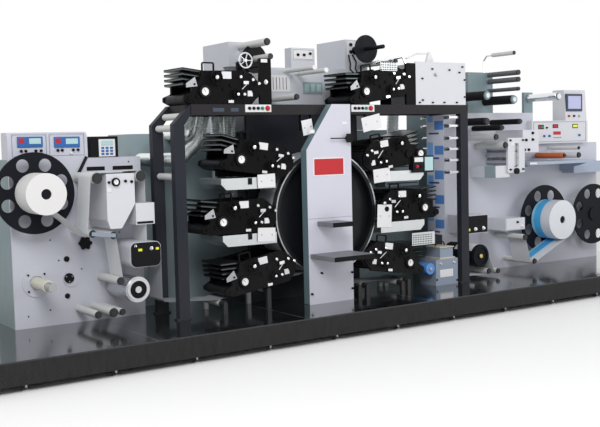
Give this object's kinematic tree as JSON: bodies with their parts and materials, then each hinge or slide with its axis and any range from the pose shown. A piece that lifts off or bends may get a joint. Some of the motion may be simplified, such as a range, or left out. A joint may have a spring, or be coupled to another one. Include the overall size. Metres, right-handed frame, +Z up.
{
  "type": "label printing machine",
  "caption": "Satellite label press on a levelled platform: unwinder, printing units round one impression drum, die-cutting station and rewinder in one line.",
  "frame": {"origin": "on the floor, at the middle of the platform", "axes": "+X along the web from the unwinder to the rewinder, +Y from the operator's side to the back, +Z up"},
  "size_m": [7.5, 1.9, 2.497],
  "materials": {
    "gloss_black_deck": "gloss",
    "checker_plate": "satin",
    "black_steel": "satin",
    "zinc_feet": "satin",
    "lilac_grey_panel": "satin",
    "teal_grey_panel": "satin",
    "slate_frame": "satin",
    "dark_frame": "satin",
    "anthracite_unit": "satin",
    "column_blue_grey": "satin",
    "pale_housing": "satin",
    "stainless_box": "brushed",
    "tread_steel": "satin",
    "steel_roller": "polished",
    "drum_steel": "polished",
    "inking_rubber": "matte",
    "reel_disc": "satin",
    "paper": "matte",
    "foil": "gloss",
    "black_plastic": "matte",
    "control_box": "satin",
    "console_grey": "satin",
    "table_top": "satin"
  },
  "bodies": {
    "press": {"bearing_wall": "slate_frame", "centre_column": "column_blue_grey", "column_treads": "tread_steel", "corona_supply": "control_box", "cross_members": "black_steel", "deck_plate": "gloss_black_deck", "die_cut_rolls": "drum_steel", "die_cut_station": "dark_frame", "drive_cabinets": "teal_grey_panel", "exhaust_ducts": "stainless_box", "film_rollers": "steel_roller", "front_feet": "zinc_feet", "front_skirt": "checker_plate", "gantry_beams": "dark_frame", "infeed_boxes": "control_box", "left_deck_rollers": "steel_roller", "left_dryers": "stainless_box", "left_posts": "slate_frame", "left_ties": "steel_roller", "left_unit_rolls": "inking_rubber", "lower_left_unit": "anthracite_unit", "lower_right_unit": "anthracite_unit", "middle_left_unit": "anthracite_unit", "middle_right_unit": "anthracite_unit", "operator_console": "console_grey", "outfeed_boxes": "control_box", "rear_feet": "zinc_feet", "rear_skirt": "checker_plate", "rewind_cabinet": "teal_grey_panel", "rewind_rollers": "steel_roller", "rewind_side_plate": "lilac_grey_panel", "right_deck_rollers": "steel_roller", "right_dryers": "stainless_box", "right_posts": "slate_frame", "right_unit_rolls": "inking_rubber", "roller_tower": "pale_housing", "tension_controls": "control_box", "top_left_unit": "anthracite_unit", "top_right_unit": "anthracite_unit", "transfer_gearbox": "dark_frame", "unwind_cabinet": "lilac_grey_panel", "unwind_rollers": "steel_roller", "unwind_side_plate": "lilac_grey_panel", "upper_boxes": "column_blue_grey", "upper_housing": "pale_housing", "upper_left_unit": "anthracite_unit", "upper_right_unit": "anthracite_unit", "upper_rollers": "steel_roller", "work_table": "table_top"},
    "unwind_reel": {"unwind_reel": "reel_disc", "paper_roll": "paper"},
    "waste_spindle": {"waste_spindle": "steel_roller"},
    "infeed_drum": {"infeed_drum": "steel_roller"},
    "impression_drum": {"impression_drum": "drum_steel"},
    "lock_wheel": {"lock_wheel": "black_plastic"},
    "foil_reel": {"foil_reel": "foil"},
    "label_reel": {"label_reel": "reel_disc", "label_roll": "paper"},
    "waste_reel": {"waste_reel": "reel_disc"},
    "outfeed_drum": {"outfeed_drum": "steel_roller"}
  },
  "joints": [
    {"name": "unwind_reel_spin", "type": "hinge", "parent": "press", "child": "unwind_reel", "pos_m": [-3.005, -0.15, 1.224], "axis": [0, 1, 0], "continuous": true},
    {"name": "waste_spindle_spin", "type": "hinge", "parent": "press", "child": "waste_spindle", "pos_m": [-2.98, -0.15, 0.548], "axis": [0, 1, 0], "continuous": true},
    {"name": "infeed_drum_spin", "type": "hinge", "parent": "press", "child": "infeed_drum", "pos_m": [-2.339, -0.15, 0.475], "axis": [0, 1, 0], "continuous": true},
    {"name": "impression_drum_spin", "type": "hinge", "parent": "press", "child": "impression_drum", "pos_m": [-0.6, -0.15, 0.95], "axis": [0, 1, 0], "continuous": true},
    {"name": "lock_wheel_spin", "type": "hinge", "parent": "press", "child": "lock_wheel", "pos_m": [-0.47, -0.495, 1.575], "axis": [0, 1, 0], "continuous": true},
    {"name": "foil_reel_spin", "type": "hinge", "parent": "press", "child": "foil_reel", "pos_m": [0.084, -0.022, 2.372], "axis": [0, 1, 0], "continuous": true},
    {"name": "label_reel_spin", "type": "hinge", "parent": "press", "child": "label_reel", "pos_m": [2.4, -0.15, 0.696], "axis": [0, 1, 0], "continuous": true},
    {"name": "waste_reel_spin", "type": "hinge", "parent": "press", "child": "waste_reel", "pos_m": [3.166, -0.15, 0.7], "axis": [0, 1, 0], "continuous": true},
    {"name": "outfeed_drum_spin", "type": "hinge", "parent": "press", "child": "outfeed_drum", "pos_m": [1.212, -0.15, 0.426], "axis": [0, 1, 0], "continuous": true}
  ]
}
